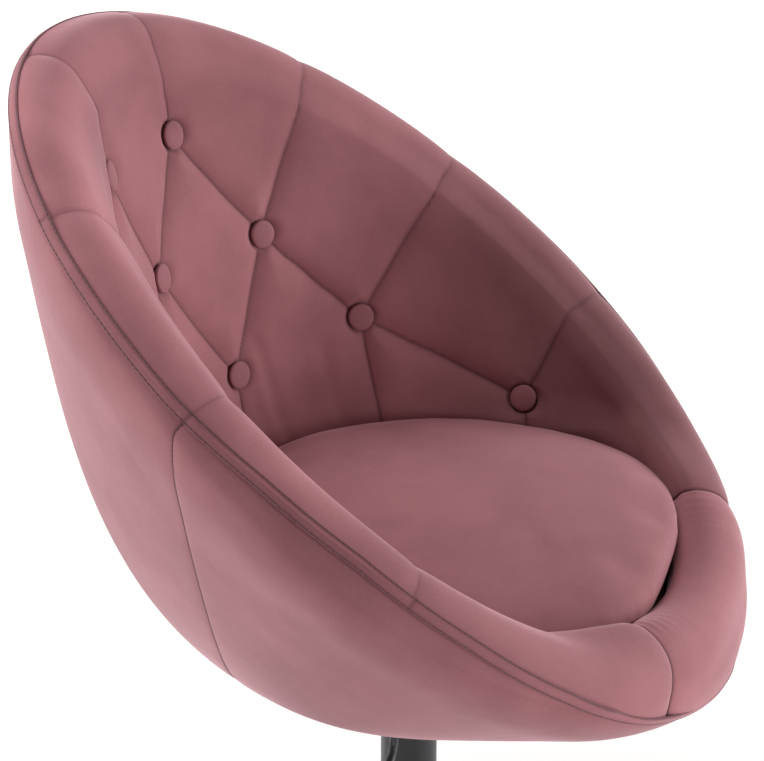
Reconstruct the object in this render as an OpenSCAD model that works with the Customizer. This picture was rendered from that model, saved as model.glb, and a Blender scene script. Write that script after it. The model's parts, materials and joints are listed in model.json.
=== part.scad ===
// Styling chair: a tufted velvet bucket seat on a gas-lift column with a round trumpet base.
// Millimetres. The origin is on the floor under the column axis, +Z is up, the sitter faces -Y.

/* [Height] */
// Height of the bucket's underside above the floor, at the lowest lift
bowl_z = 330; // [320:1:360]

/* [Rim of the bucket] */
// Half width of the rim, to the middle of the padded roll
rim_half_width = 282; // [270:1:290]
// Half length of the rim, along its slope
rim_half_length = 343; // [335:1:350]
// Slope of the rim, from low front to high back, in degrees
rim_tilt = 38.5; // [36:0.5:40]
// Centre of the rim behind the column axis
rim_y = 18.5; // [15:0.5:22]
// Centre of the rim above the bucket's underside
rim_z = 277; // [272:1:285]
// Radius of the roll at the sides
roll_side = 32; // [30:0.5:34]
// Radius of the roll at the front bolster
roll_front = 30; // [28:0.5:32]
// Radius of the roll at the top of the back
roll_back = 33; // [31:0.5:35]
// Half angle of the front bolster, seen from the middle of the rim
bolster_angle = 26; // [24:1:28]

/* [Bucket walls] */
// Radius of the flat round underside
under_r = 150; // [140:1:155]
// Thickness of the velvet cover and its thin foam
cover_t = 4; // [3:0.5:5]
// Thickness of the moulded shell
shell_t = 8; // [7:0.5:9]
// Angle of the side seams in the outer cover
cover_seam_angle = 98; // [90:1:105]

/* [Seat] */
// Top of the seat deck above the bucket's underside
deck_top = 58; // [56:1:60]
// Thickness of the seat deck
deck_t = 12; // [9:1:15]
// Half width of the seat cushion
cushion_half_width = 203; // [198:1:204]
// Top of the crowned cushion above the bucket's underside
cushion_top = 131; // [126:1:134]
// Radius of a covered button
button_r = 12.5; // [11:0.5:13]

/* [Column] */
// Radius of the fixed outer tube
tube_r = 25; // [25:0.5:25]
// Radius of the sliding pressure tube
piston_r = 14; // [14:0.5:14]
// Radius of the fixed piston rod
rod_r = 5; // [5:0.5:5]
// Travel of the gas lift
lift_travel = 120; // [100:5:120]
// Running clearance on the radius of each sliding or turning fit
fit_gap = 0.05; // [0.02:0.01:0.08]

/* [Base] */
// Radius of the round base
base_r = 220; // [210:1:225]
// Top of the trumpet-shaped cover above the floor
trumpet_z = 86; // [80:1:95]

/* [Lever] */
// Radius of the lever rod
lever_r = 4; // [3.5:0.5:4]
// Distance of the lever's pivot from the column axis
pivot_x = 22; // [21:1:23]
// Distance of the lever's upright leg from the column axis
leg_x = 42; // [41:1:44]
// Length of the sloping part of the lever
lever_reach = 115; // [105:1:120]

/* [Hidden] */
$fn = 64;

// Upholstery grid: degrees between sections and rows up a wall
t_step = 5;
rows = 9;

// Heights of the base and column
ring_h = 10;
ballast_top = 12;
flange_top = 18;
tube_top = bowl_z - 72;
bush_flange = 3;
end_plate_z = 10;
end_plate_t = 6;
journal_r = rod_r - 0.5;
tube_wall = 2;
tube_inner_r = tube_r - tube_wall;

// Groove for the retaining clip, near the lower end of the rod
groove_r = 3.5;
groove_z = 8.3;
groove_h = 1.4;

// Bearing stack on the end plate, from the bottom up
washer_t = 2;
ball_r = 1.5;
lower_washer_z = end_plate_z + end_plate_t + fit_gap;
ball_z = lower_washer_z + washer_t + fit_gap;
upper_washer_z = ball_z + 2 * ball_r + fit_gap;
bumper_z = upper_washer_z + washer_t + fit_gap;

// Pressure tube
pressure_z = 48;
pressure_top = bowl_z - 16;
bore_r = 12.5;
head_r = 13.2;
head_bore_r = 11.2;
taper_h = 48;
seal_h = 16;
piston_z = pressure_z + seal_h + lift_travel + 30;
piston_h = 16;
pin_r = 3;
pin_length = 48;
ball_circle_r = 9.5;
ballast_r = 203.5;
floor_gap = 1.5;         // ballast and hub stand clear of the floor
hub_neck_r = 30;
hub_flange_r = 48;
hub_screw_circle_r = 39;
pin_top = bowl_z - 12;

// Seat mechanism
plate_t = 3;
plate_top = bowl_z + cover_t + 0.1;
plate_x = 170;
plate_y = 150;
bolt_x = 70;
bolt_y = 60;
bolt_r = 4;
bolt_hole_r = 4.3;
channel_floor = bowl_z - 18 + 0.1;
channel_wall = 2.5;
channel_half = 20;
lever_z = bowl_z - 8 + 0.1;
pivot_r = 3;
hub_r = 6;
leg_bend_r = 12;
leg_bottom = bowl_z - 80;
flare_r = 22;
flare_angle = 68;
grip_r = 8;
grip_len = 58;

// Seat boards
board_t = 15;
board_r = 125;
shell_floor = cover_t + shell_t + 0.2;
board_z = bowl_z + shell_floor + 0.2;
deck_z = bowl_z + deck_top - deck_t;
seat_y = -44;

// ---------------------------------------------------------------- bucket geometry
// Angles run from 0 at the front, past 90 at the sitter's left, to 180 at the back.

function lerp(a, b, k) = a + (b - a) * k;
function unit(v) = v / norm(v);
// A value that is "side" at the sides and turns to "front" or "back" at the ends
function around(side, front, back, t) =
    side + (front - side) * pow(max(cos(t), 0), 2) + (back - side) * pow(max(-cos(t), 0), 2);
function signed_pow(v, p) = sign(v) * pow(abs(v), p);

// Centre line of the padded roll: a tilted ellipse, a little fuller towards the front
function rim_point(t) = [
    rim_half_width * sin(t) * (1 + 0.11 * cos(t) - 0.01 * cos(2 * t)),
    rim_y - rim_half_length * cos(t) * cos(rim_tilt) - 8.5 * cos(2 * t),
    rim_z - rim_half_length * cos(t) * sin(rim_tilt) - 7.3 * cos(2 * t) + 2.7 * cos(3 * t)
];
rim_up = [0, -sin(rim_tilt), cos(rim_tilt)];
function rim_out(t) = unit(cross(rim_point(t + 0.5) - rim_point(t - 0.5), rim_up));
function roll_r(t) = around(roll_side, roll_front, roll_back, t);
// Point on the roll's surface: angle 0 is outwards, 90 is up, 180 is towards the sitter
function roll_point(t, a, grow = 0) =
    rim_point(t) + (roll_r(t) + grow) * (cos(a) * rim_out(t) + sin(a) * rim_up);

function bezier(a, b, c, d, s) =
    pow(1 - s, 3) * a + 3 * pow(1 - s, 2) * s * b + 3 * (1 - s) * s * s * c + pow(s, 3) * d;

// Outside of the bucket: s runs from the flat underside up to the roll
function outer_point(t, s) =
    let (edge = roll_point(t, 0),
         out = [sin(t), -cos(t), 0],
         low = under_r * out,
         belly = [206 * sin(t), -around(206, 293, 293, t) * cos(t), 0],
         neck = edge - [0, 0, edge[2] * around(0.07, 0.27, 0.55, t)] + around(9, -2, -8, t) * out)
    bezier(low, belly, neck, edge, s);
function outer_normal(t, s) =
    let (across = outer_point(t + 0.5, s) - outer_point(t - 0.5, s),
         up = outer_point(t, min(s + 0.01, 1)) - outer_point(t, max(s - 0.01, 0)))
    unit(cross(across, up));
// The same surface moved inwards by depth
function wall_point(t, s, depth) = outer_point(t, s) - depth * outer_normal(t, s);
// The s at which the outside reaches height z, by halving
function s_at(t, z, lo = 0, hi = 1, n = 12) =
    n == 0 ? (lo + hi) / 2
    : let (mid = (lo + hi) / 2)
      outer_point(t, mid)[2] < z ? s_at(t, z, mid, hi, n - 1) : s_at(t, z, lo, mid, n - 1);

// Rounded outline of the seat, squarer at its front corners
function seat_point(t, a, front, back) =
    let (p = 0.8 + 0.1 * (1 - max(-1, min(1, 2 * cos(t)))))
    [a * signed_pow(sin(t), p), seat_y - (cos(t) > 0 ? front : back) * signed_pow(cos(t), p)];

// Inside of the bucket: s runs from the seat deck up to the roll
function inner_point(t, s) =
    let (edge = roll_point(t, 180),
         rise = edge[2] - deck_top,
         low = seat_point(t, 178, 172, 222),
         wide = seat_point(t, 224, 184, 236),
         k = min(1, rise / 100),
         out = [sin(t), -cos(t), 0],
         foot = [low[0], low[1], deck_top + 0.4],
         flare = concat(lerp(low, wide, k), deck_top + min(48, rise / 2)),
         neck = edge - [0, 0, rise / 4] - 0.06 * rise * out)
    bezier(foot, flare, neck, edge, s);
function inner_normal(t, s) =
    let (across = inner_point(t + 0.5, s) - inner_point(t - 0.5, s),
         up = inner_point(t, min(s + 0.01, 1)) - inner_point(t, max(s - 0.01, 0)))
    unit(cross(up, across));

// Joins a list of closed sections into one solid, as a full ring or with flat-stripped ends.
// flip turns the diagonals of its facets, so that two walls that face each other match.
module swept(sections, closed, flip = false) {
    n = len(sections);
    k = len(sections[0]);
    last = (n - 1) * k;
    sides = [for (i = [0 : closed ? n - 1 : n - 2], j = [0 : k - 1])
        let (a = i * k, b = ((i + 1) % n) * k, q = (j + 1) % k)
        each flip ? [[a + j, b + j, a + q], [b + j, b + q, a + q]]
                  : [[a + j, b + j, b + q], [a + j, b + q, a + q]]];
    first_cap = [for (j = [0 : k / 2 - 2])
        each [[j, j + 1, k - 2 - j], [j, k - 2 - j, k - 1 - j]]];
    last_cap = [for (f = first_cap) [last + f[2], last + f[1], last + f[0]]];
    translate([0, 0, bowl_z])
        polyhedron([for (s = sections) each s], closed ? sides : concat(sides, first_cap, last_cap));
}

// Joins level outlines into one solid with a flat bottom and top
module stacked(outlines) {
    n = len(outlines);
    k = len(outlines[0]);
    sides = [for (i = [0 : n - 2], j = [0 : k - 1])
        let (a = i * k, b = (i + 1) * k, q = (j + 1) % k)
        each [[a + j, b + j, b + q], [a + j, b + q, a + q]]];
    bottom = [for (j = [0 : k - 1]) j];
    top = [for (j = [k - 1 : -1 : 0]) (n - 1) * k + j];
    translate([0, 0, bowl_z])
        polyhedron([for (o = outlines) each o], concat(sides, [bottom, top]));
}

// ---------------------------------------------------------------- shared shapes
module ring(r_out, r_in, z, h) {
    translate([0, 0, z])
        difference() {
            cylinder(r = r_out, h = h);
            translate([0, 0, -1])
                cylinder(r = r_in, h = h + 2);
        }
}

module at_bolts() {
    for (x = [-bolt_x, bolt_x], y = [-bolt_y, bolt_y])
        translate([x, y, 0])
            children();
}

// ---------------------------------------------------------------- base
module floor_ring() {
    color("#1c1c1e")
        rotate_extrude()
            polygon([[204, 0], [base_r - 1, 0], [base_r, 1], [base_r, ring_h], [204, ring_h]]);
}

module ballast_plate() {
    color("#3a3a3c")
        difference() {
            ring(ballast_r, hub_neck_r + 0.2, floor_gap, ballast_top - floor_gap);
            at_hub_screws(6)
                cylinder(r = 3.1, h = 20);
        }
}

// Height of the trumpet at radius r: a low dome that flares up to the column
function trumpet(r) = 16 + (trumpet_z - 20.3) * exp(-(r - 32) / 20) + 5 * (1 - r / base_r);
function trumpet_slope(r) = (trumpet(r + 0.1) - trumpet(r - 0.1)) / 0.2;
function trumpet_inside(r, t) = [r, trumpet(r)] - t * unit([-trumpet_slope(r), 1]);

module base_cover() {
    sheet = 2;
    edge_r = 6;
    dome_r = base_r - edge_r;
    radii = concat([for (r = [32 : 4 : 96]) r], [for (r = [110 : 18 : dome_r]) r], [dome_r]);
    rim_z0 = trumpet(dome_r) - edge_r;
    top = [for (r = radii) [r, trumpet(r)]];
    edge = [for (a = [75 : -15 : 0]) [dome_r + edge_r * cos(a), rim_z0 + edge_r * sin(a)]];
    skirt = [[base_r, ring_h + 0.1], [base_r - sheet, ring_h + 0.1]];
    inner_edge = [for (a = [0 : 15 : 75])
        [dome_r + (edge_r - sheet) * cos(a), rim_z0 + (edge_r - sheet) * sin(a)]];
    inside = [for (i = [len(radii) - 1 : -1 : 0]) trumpet_inside(radii[i], sheet)];
    color("#232325")
        rotate_extrude($fn = 96)
            polygon(concat(top, edge, skirt, inner_edge, [for (p = inside) [max(p[0], 30.2), p[1]]]));
}

module at_hub_screws(z) {
    for (a = [45 : 90 : 315])
        rotate([0, 0, a])
            translate([hub_screw_circle_r, 0, z])
                children();
}

module base_hub() {
    color("#3a3a3c")
        difference() {
            union() {
                ring(hub_neck_r, tube_r + 0.03, floor_gap + 0.1, trumpet_z - 3);
                ring(hub_flange_r, hub_neck_r - 0.5, ballast_top + 0.05, flange_top - ballast_top);
            }
            at_hub_screws(ballast_top - 2)
                cylinder(r = 3.2, h = 20);
        }
}

module hub_screws() {
    color("#8a8a8e")
        at_hub_screws(6)
            union() {
                cylinder(r = 3, h = flange_top + 0.1 - 6);
                translate([0, 0, flange_top + 0.1 - 6])
                    cylinder(r = 5, h = 4, $fn = 6);
            }
}

module hub_collar() {
    color("#202022")
        rotate_extrude()
            polygon([[tube_r + 0.1, trumpet_z + 0.4], [34, trumpet_z + 0.4], [34, trumpet_z + 4],
                     [30, trumpet_z + 12], [27.5, trumpet_z + 14], [tube_r + 0.1, trumpet_z + 14]]);
}

// ---------------------------------------------------------------- column, fixed part
module outer_tube() {
    color("#2c2a2e")
        ring(tube_r, tube_inner_r, 8, tube_top - 8);
}

module tube_end_plate() {
    color("#55555a")
        ring(tube_inner_r - 0.02, journal_r + 0.08, end_plate_z, end_plate_t);
}

module guide_bush() {
    color("#1a1a1c")
        difference() {
            union() {
                ring(tube_inner_r - 0.02, piston_r + fit_gap, tube_top - 60, 60.5);
                ring(tube_r, piston_r + fit_gap, tube_top + 0.02, bush_flange);
            }
            translate([0, 0, tube_top - 61])
                cylinder(r = piston_r + fit_gap, h = 70);
        }
}

module bearing_washer_lower() {
    color("#8a8a8e")
        ring(14, journal_r + 0.08, lower_washer_z, washer_t);
}

// ---------------------------------------------------------------- column, turning rod
module gas_rod() {
    shoulder_z = bumper_z - fit_gap;
    end_z = 5;
    top_z = piston_z + piston_h + 2;
    groove_top = groove_z + groove_h;
    color("#b9b9bd")
        rotate_extrude()
            polygon([[0, end_z], [journal_r, end_z], [journal_r, groove_z], [groove_r, groove_z],
                     [groove_r, groove_top], [journal_r, groove_top],
                     [journal_r, shoulder_z], [rod_r, shoulder_z], [rod_r, top_z], [0, top_z]]);
}

module piston_head() {
    color("#6b6b70")
        ring(bore_r - fit_gap, rod_r + 0.02, piston_z, piston_h);
}

module bearing_balls() {
    color("#b9b9bd")
        for (a = [0 : 36 : 324])
            rotate([0, 0, a])
                translate([ball_circle_r, 0, ball_z + ball_r])
                    sphere(r = ball_r, $fn = 24);
}

module bearing_washer_upper() {
    color("#8a8a8e")
        ring(14, journal_r + 0.05, upper_washer_z, washer_t);
}

module rubber_bumper() {
    color("#151515")
        ring(12, rod_r + 0.05, bumper_z, pressure_z - 0.1 - bumper_z);
}

module retaining_clip() {
    color("#6b6b70")
        ring(8, groove_r + 0.05, groove_z + 0.15, groove_h - 0.3);
}

// ---------------------------------------------------------------- column, sliding part
module pressure_tube() {
    taper_z = pressure_top - taper_h;
    color("#3b3a3e")
        rotate_extrude()
            polygon([[bore_r, pressure_z], [piston_r, pressure_z], [piston_r, taper_z],
                     [head_r, pressure_top], [head_bore_r, pressure_top],
                     [head_bore_r, taper_z - 4], [bore_r, taper_z - 4]]);
}

module rod_seal() {
    color("#1a1a1c")
        ring(bore_r - 0.02, rod_r + fit_gap, pressure_z, seal_h);
}

module valve_block() {
    color("#9a8a5a")
        ring(head_bore_r - 0.02, pin_r + fit_gap, pressure_top - taper_h, taper_h);
}

module release_pin() {
    color("#b9b9bd")
        translate([0, 0, pin_top - pin_length])
            cylinder(r = pin_r, h = pin_length);
}

// ---------------------------------------------------------------- seat mechanism
module taper_socket() {
    z0 = pressure_top - taper_h;
    z1 = channel_floor - 0.1;
    wide = piston_r + 0.03;
    narrow = lerp(piston_r, head_r, (z1 - z0) / taper_h) + 0.03;
    color("#2f2e31")
        rotate_extrude()
            polygon([[wide, z0], [18, z0], [18, z1], [narrow, z1]]);
}

module mechanism_channel() {
    length = 58;
    x0 = -32;
    wall_h = plate_top - plate_t - 0.05 - channel_floor;
    color("#2f2e31")
        difference() {
            union() {
                translate([x0, -channel_half, channel_floor])
                    cube([length, 2 * channel_half, channel_wall]);
                for (y = [-channel_half, channel_half - channel_wall])
                    translate([x0, y, channel_floor])
                        cube([length, channel_wall, wall_h]);
                translate([x0 + length - channel_wall, -channel_half, channel_floor])
                    cube([channel_wall, 2 * channel_half, wall_h]);
            }
            translate([0, 0, channel_floor - 1])
                cylinder(r = piston_r, h = 5);
            translate([-pivot_x, 0, lever_z])
                rotate([90, 0, 0])
                    cylinder(r = pivot_r + 0.03, h = 60, center = true);
        }
}

module mechanism_plate() {
    color("#2f2e31")
        difference() {
            translate([-plate_x / 2, -plate_y / 2, plate_top - plate_t])
                cube([plate_x, plate_y, plate_t]);
            at_bolts()
                translate([0, 0, plate_top - 10])
                    cylinder(r = bolt_hole_r, h = 20);
        }
}

module lever_pivot_pin() {
    color("#b9b9bd")
        translate([-pivot_x, 0, lever_z])
            rotate([90, 0, 0])
                cylinder(r = pivot_r, h = 48, center = true);
}

module pivot_clips() {
    color("#8a8a8e")
        for (side = [-1, 1])
            translate([-pivot_x, side * (channel_half + 1.5), lever_z])
                rotate([90, 0, 0])
                    difference() {
                        cylinder(r = 5, h = 1.2, center = true);
                        cylinder(r = pivot_r + 0.03, h = 3, center = true);
                    }
}

// ---------------------------------------------------------------- lever
flare_x = -leg_x - flare_r;
slope_x = flare_x + flare_r * cos(flare_angle);
slope_z = leg_bottom - flare_r * sin(flare_angle);

// A straight round bar along the sloping part, from distance a to distance b
module slope_bar(r, a, b) {
    translate([slope_x, 0, slope_z])
        rotate([0, -90 - (90 - flare_angle), 0])
            translate([0, 0, a])
                cylinder(r = r, h = b - a);
}

// The bent rod's centre line in the XZ plane, as [x, z, direction in degrees from +X]
function lever_path() = concat(
    [[8, lever_z, 180]],
    [for (a = [0 : 15 : 90])
        [-leg_x + leg_bend_r - leg_bend_r * sin(a), lever_z - leg_bend_r * (1 - cos(a)), 180 + a]],
    [for (a = [0 : flare_angle / 5 : flare_angle])
        [flare_x + flare_r * cos(a), leg_bottom - flare_r * sin(a), 270 - a]],
    [[slope_x - lever_reach * sin(flare_angle), slope_z - lever_reach * cos(flare_angle),
      270 - flare_angle]]);

module lever_rod() {
    sides = 16;
    sections = [for (p = lever_path()) [for (i = [0 : sides - 1]) let (a = 360 * i / sides)
        [p[0] - lever_r * cos(a) * sin(p[2]), -lever_r * sin(a),
         p[1] - bowl_z + lever_r * cos(a) * cos(p[2])]]];
    color("#1e1d20")
        difference() {
            union() {
                swept(sections, false);
                translate([-pivot_x, 0, lever_z])
                    rotate([90, 0, 0])
                        cylinder(r = hub_r, h = 2 * channel_half - 10, center = true);
            }
            translate([-pivot_x, 0, lever_z])
                rotate([90, 0, 0])
                    cylinder(r = pivot_r + fit_gap, h = 60, center = true);
        }
}

module lever_grip() {
    color("#151516")
        difference() {
            union() {
                slope_bar(grip_r - 1.5, lever_reach - grip_len, lever_reach - grip_len + 3);
                slope_bar(grip_r, lever_reach - grip_len + 3, lever_reach + 3);
                slope_bar(grip_r - 2, lever_reach + 3, lever_reach + 5);
            }
            slope_bar(lever_r + 0.03, lever_reach - grip_len - 1, lever_reach + 0.1);
        }
}

// ---------------------------------------------------------------- seat fixings
washer_z = plate_top - plate_t - 0.05;
tee_top = board_z + board_t;

module seat_bolts() {
    color("#8a8a8e")
        at_bolts() {
            translate([0, 0, washer_z - 1.65])
                cylinder(r = bolt_r, h = tee_top - 1 - washer_z + 1.65);
            translate([0, 0, washer_z - 1.65 - 5])
                cylinder(r = 7, h = 5, $fn = 6);
        }
}

module bolt_washers() {
    color("#a0a0a4")
        at_bolts()
            ring(9, bolt_r + 0.2, washer_z - 1.6, 1.6);
}

module tee_nuts() {
    color("#a0a0a4")
        at_bolts()
            difference() {
                union() {
                    translate([0, 0, tee_top - 12])
                        cylinder(r = 5.5, h = 12.1);
                    translate([0, 0, tee_top + 0.05])
                        cylinder(r = 10, h = 1.5);
                }
                translate([0, 0, tee_top - 20])
                    cylinder(r = bolt_r + 0.05, h = 30);
            }
}

module dust_cover() {
    color("#202022")
        translate([0, 0, bowl_z - 1])
            difference() {
                cylinder(r = under_r - 2, h = 0.9);
                translate([-plate_x / 2 - 2, -plate_y / 2 - 2, -1])
                    cube([plate_x + 4, plate_y + 4, 3]);
            }
}

module dust_cover_staples() {
    color("#a0a0a4")
        for (a = [0 : 15 : 345])
            rotate([0, 0, a])
                translate([under_r - 7, -5, bowl_z - 1.8])
                    cube([0.8, 10, 0.7]);
}

module bottom_board() {
    color("#c7a77a")
        difference() {
            ring(board_r, 30, board_z, board_t);
            at_bolts()
                translate([0, 0, board_z - 1])
                    cylinder(r = 5.6, h = board_t + 2);
        }
}

module at_supports() {
    for (a = [0 : 90 : 270])
        rotate([0, 0, a])
            translate([98, 0, 0])
                children();
}

module deck_supports() {
    z0 = board_z + board_t + 0.05;
    color("#c7a77a")
        at_supports()
            difference() {
                translate([-12, -24, z0])
                    cube([24, 48, deck_z - 0.05 - z0]);
                translate([0, 0, z0 - 1])
                    cylinder(r = 2.6, h = 60);
            }
}

module deck_screws() {
    color("#a0a0a4")
        at_supports()
            union() {
                translate([0, 0, deck_z - 16])
                    cylinder(r = 2.5, h = 16 + deck_t - 3);
                translate([0, 0, deck_z + deck_t - 3.1])
                    cylinder(r = 4.5, h = 3);
            }
}

module seat_deck() {
    color("#c7a77a")
        difference() {
            translate([0, 0, deck_z])
                linear_extrude(deck_t)
                    polygon([for (t = [0 : t_step : 359]) seat_point(t, 175, 169, 219)]);
            at_supports() {
                translate([0, 0, deck_z - 1])
                    cylinder(r = 2.6, h = 30);
                translate([0, 0, deck_z + deck_t - 3.2])
                    cylinder(r = 4.6, h = 10);
            }
        }
}

// ---------------------------------------------------------------- upholstery
velvet = "#a3767c";
wall_top = 0.965;
clear = 0.2;
pad_gap = 1.8; // glue line between the shell and the back pad

// The section angles from one end to the other, on the same steps all round the bucket
function angles(from, to) = concat([from],
    [for (t = [t_step * ceil((from + 0.5) / t_step) : t_step : to - 0.5]) t], [to]);

module bucket_shell() {
    outside = cover_t + clear;
    inside = outside + shell_t;
    sections = [for (t = [0 : t_step : 359]) concat(
        [[30 * sin(t), -30 * cos(t), outside]],
        [for (i = [0 : rows]) wall_point(t, wall_top * i / rows, outside)],
        [for (i = [rows : -1 : 0]) wall_point(t, wall_top * i / rows, inside)],
        [[30 * sin(t), -30 * cos(t), inside]])];
    color("#2b2a2c")
        difference() {
            swept(sections, true);
            at_bolts()
                translate([0, 0, bowl_z])
                    cylinder(r = bolt_hole_r, h = 30);
        }
}

// A panel of the outer cover between two angles, turned in under the bucket
module cover_panel(from, to) {
    in_r = under_r - 12;
    sections = [for (t = angles(from, to)) concat(
        [[in_r * sin(t), -in_r * cos(t), 0]],
        [for (j = [0 : rows]) outer_point(t, wall_top * j / rows)],
        [for (j = [rows : -1 : 0]) wall_point(t, wall_top * j / rows, cover_t)],
        [[in_r * sin(t), -in_r * cos(t), cover_t]])];
    color(velvet)
        swept(sections, false, true);
}

module outer_cover_back() {
    cover_panel(cover_seam_angle + 0.2, 360 - cover_seam_angle - 0.2);
}

module outer_cover_front() {
    cover_panel(-cover_seam_angle + 0.2, cover_seam_angle - 0.2);
}

// Where the welt band runs: degrees up the roll, or below it in hundredths of the wall
function welt_place(t) = lookup(min(t, 360 - t), [[0, -40], [30, -12], [45, 20], [60, 40], [75, 48],
                                                  [88, 40], [100, 25], [125, 15], [180, 12]]);
function welt_point(t, w, lift) =
    w >= 0 ? roll_point(t, w, lift) : wall_point(t, 1 + w / 100, -lift);

module welt_band() {
    half = 9;
    color("#8d646a")
        swept([for (t = [0 : t_step : 359]) let (w = welt_place(t)) [
            welt_point(t, w - half, 0.8), welt_point(t, w, 0.8), welt_point(t, w + half, 0.8),
            welt_point(t, w + half, 2.5), welt_point(t, w, 2.7), welt_point(t, w - half, 2.5)]], true);
}

module tufted_back_pad() {
    depth = cover_t + shell_t + clear + pad_gap;
    sections = [for (t = [0 : t_step : 359])
        let (start = s_at(t, min(deck_top + 0.4, 0.75 * roll_point(t, 0)[2])))
        concat(
            [for (i = [0 : rows]) wall_point(t, lerp(start, wall_top, i / rows), depth)],
            [for (i = [rows : -1 : 0]) inner_point(t, wall_top * i / rows)])];
    color(velvet)
        swept(sections, true);
}

// Half-round padded roll standing on the top of the walls
module roll(from, to) {
    arc = 13;
    color(velvet)
        swept([for (t = angles(from, to))
            [for (j = [0 : arc]) roll_point(t, 180 * j / arc) + 0.5 * rim_up]], false);
}

module rim_roll() {
    roll(bolster_angle + 0.2, 360 - bolster_angle - 0.2);
}

module front_bolster() {
    roll(-bolster_angle, bolster_angle);
}

// Angle and height of every covered button on the inside wall: rows of 2, 3, 4 and 2
BUTTONS = [[163, 0.86], [197, 0.86], [142, 0.66], [180, 0.62], [218, 0.66],
           [121, 0.50], [158, 0.39], [202, 0.39], [239, 0.50], [85, 0.38], [275, 0.38]];

// Children are drawn with +Z pointing out of the inside wall, at each button
module at_buttons() {
    for (b = BUTTONS) {
        n = inner_normal(b[0], b[1]);
        translate([0, 0, bowl_z])
            translate(inner_point(b[0], b[1]))
                rotate([0, acos(n[2]), atan2(n[1], n[0])])
                    children();
    }
}

module back_buttons() {
    color(velvet)
        at_buttons()
            translate([0, 0, 1])
                rotate_extrude($fn = 32)
                    polygon([[0, 0], [button_r - 1, 0], [button_r, 1], [button_r, 3.5],
                             [button_r - 1.5, 5], [button_r - 5, 6.2], [0, 6.8]]);
}

module button_shanks() {
    color("#8a8a8e")
        at_buttons()
            translate([0, 0, -13])
                cylinder(r = 1.2, h = 13.9, $fn = 24);
}

module seat_cushion() {
    edge_z = cushion_top - 23;
    // Half width, reach to the front, reach to the back, and height of each outline
    levels = [[0.86, deck_top + 0.6], [0.925, deck_top + 17], [0.975, edge_z - 12], [1, edge_z],
              [0.98, edge_z + 8], [0.92, edge_z + 14], [0.75, edge_z + 19], [0.45, edge_z + 22],
              [0.15, cushion_top]];
    color(velvet)
        stacked([for (l = levels) [for (t = [0 : t_step : 359])
            let (p = seat_point(t, cushion_half_width * l[0],
                                175 * lerp(0.25, 1, min(1, l[0] * 1.02)) * min(1, l[0] + 0.04),
                                222 * min(1, l[0] + 0.04)))
            [p[0], p[1], l[1]]]]);
}

// ---------------------------------------------------------------- drawing
floor_ring();
ballast_plate();
base_cover();
base_hub();
hub_screws();
hub_collar();
outer_tube();
tube_end_plate();
guide_bush();
bearing_washer_lower();
gas_rod();
piston_head();
bearing_balls();
bearing_washer_upper();
rubber_bumper();
retaining_clip();
pressure_tube();
rod_seal();
valve_block();
release_pin();
taper_socket();
mechanism_channel();
mechanism_plate();
lever_pivot_pin();
pivot_clips();
lever_rod();
lever_grip();
seat_bolts();
bolt_washers();
tee_nuts();
dust_cover();
dust_cover_staples();
bucket_shell();
bottom_board();
deck_supports();
deck_screws();
seat_deck();
outer_cover_back();
outer_cover_front();
welt_band();
tufted_back_pad();
rim_roll();
front_bolster();
back_buttons();
button_shanks();
seat_cushion();
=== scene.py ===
# %% [markdown]
# # A tufted velvet styling chair
# The chair is a padded bucket on a gas-lift column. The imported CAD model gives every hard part: base, column,
# lever, seat mechanism and the boards inside. Here the hard parts get their finishes, and the upholstery is
# built over them: a tufted lining, a padded rim, a front bolster, an outer cover, a stitched band, buttons
# and a cushion. Everything is in metres, in the same frame as the CAD.

# %% Load the frame
import json
import math

import bpy
import numpy as np
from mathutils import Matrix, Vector, kdtree, noise


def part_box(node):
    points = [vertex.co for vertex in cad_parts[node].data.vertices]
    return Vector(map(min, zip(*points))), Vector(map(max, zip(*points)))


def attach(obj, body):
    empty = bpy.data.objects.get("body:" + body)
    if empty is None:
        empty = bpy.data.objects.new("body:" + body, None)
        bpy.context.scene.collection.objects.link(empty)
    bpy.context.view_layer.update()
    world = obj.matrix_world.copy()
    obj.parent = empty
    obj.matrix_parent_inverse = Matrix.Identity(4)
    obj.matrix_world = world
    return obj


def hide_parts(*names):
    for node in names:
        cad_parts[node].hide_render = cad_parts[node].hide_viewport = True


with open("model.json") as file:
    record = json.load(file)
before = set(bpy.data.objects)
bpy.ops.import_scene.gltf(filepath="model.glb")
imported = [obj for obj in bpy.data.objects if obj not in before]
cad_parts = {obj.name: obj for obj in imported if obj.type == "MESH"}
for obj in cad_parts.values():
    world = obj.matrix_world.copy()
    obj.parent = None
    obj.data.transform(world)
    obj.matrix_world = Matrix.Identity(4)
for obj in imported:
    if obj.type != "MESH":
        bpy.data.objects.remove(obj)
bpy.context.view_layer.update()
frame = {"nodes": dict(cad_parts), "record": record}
scene = bpy.context.scene
scene.view_settings.view_transform = "Standard"

# %% [markdown]
# ## Camera
# The camera is on the sitter's right and a little in front, and looks 24 degrees down. It is made first,
# because everything else is judged through it. A long lens keeps the bucket's shape calm. The camera is
# raised above the line to the top of the column, so that the whole bucket is in the frame.

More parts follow.
